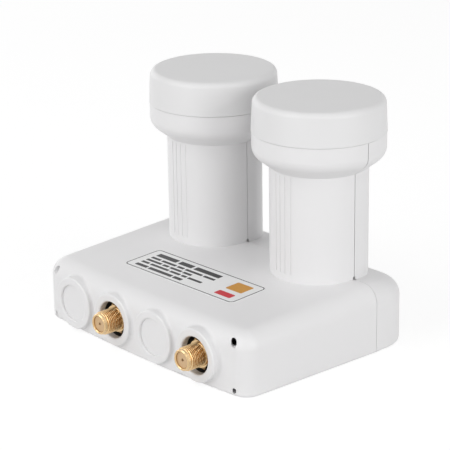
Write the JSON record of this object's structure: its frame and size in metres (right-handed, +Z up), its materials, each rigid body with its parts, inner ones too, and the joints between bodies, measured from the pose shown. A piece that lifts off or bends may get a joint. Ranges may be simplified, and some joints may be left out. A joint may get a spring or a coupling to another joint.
{
  "type": "satellite lnb",
  "caption": "Satellite LNB with capped feed horns on round clamp necks, a flat white housing and threaded coaxial outlets on its front face.",
  "frame": {"origin": "on the flat underside of the housing, midway between the two horn axes, on the seam plane that holds both axes", "axes": "+X along the row of horns, +Y towards the rear shell, +Z up along the horn axes towards the caps; the outlets face -Y"},
  "size_m": [0.1274, 0.1066, 0.1002],
  "materials": {
    "housing": "satin white moulding",
    "cap": "satin white moulding",
    "seal": "matt black rubber",
    "casting": "bare die casting",
    "screw": "zinc plated",
    "board": "green solder mask",
    "contact": "plated metal",
    "chip": "black moulded package",
    "crystal": "metal can",
    "capacitor": "fired ceramic",
    "coil": "enamelled winding",
    "outlet": "plated turned brass",
    "insulator": "tan moulding",
    "label": "white film"
  },
  "bodies": {
    "root": {"front_shell": "housing", "rear_shell": "housing", "feed_cap_left": "cap", "feed_cap_right": "cap", "cap_seal_left": "seal", "cap_seal_right": "seal", "chassis": "casting", "chassis_cover": "casting", "cover_gasket": "seal", "cover_screws": "screw", "circuit_board": "board", "board_screws": "screw", "feed_probes": "contact", "amplifier_transistors": "chip", "converter_chips": "chip", "oscillator_crystals": "crystal", "switch_chip": "chip", "voltage_regulators": "chip", "capacitors": "capacitor", "choke_coils": "coil", "outlet_body_left": "outlet", "outlet_body_right": "outlet", "outlet_seal_left": "seal", "outlet_seal_right": "seal", "outlet_insulator_left": "insulator", "outlet_insulator_right": "insulator", "outlet_contact_left": "contact", "outlet_contact_right": "contact", "label": "label"}
  },
  "joints": []
}
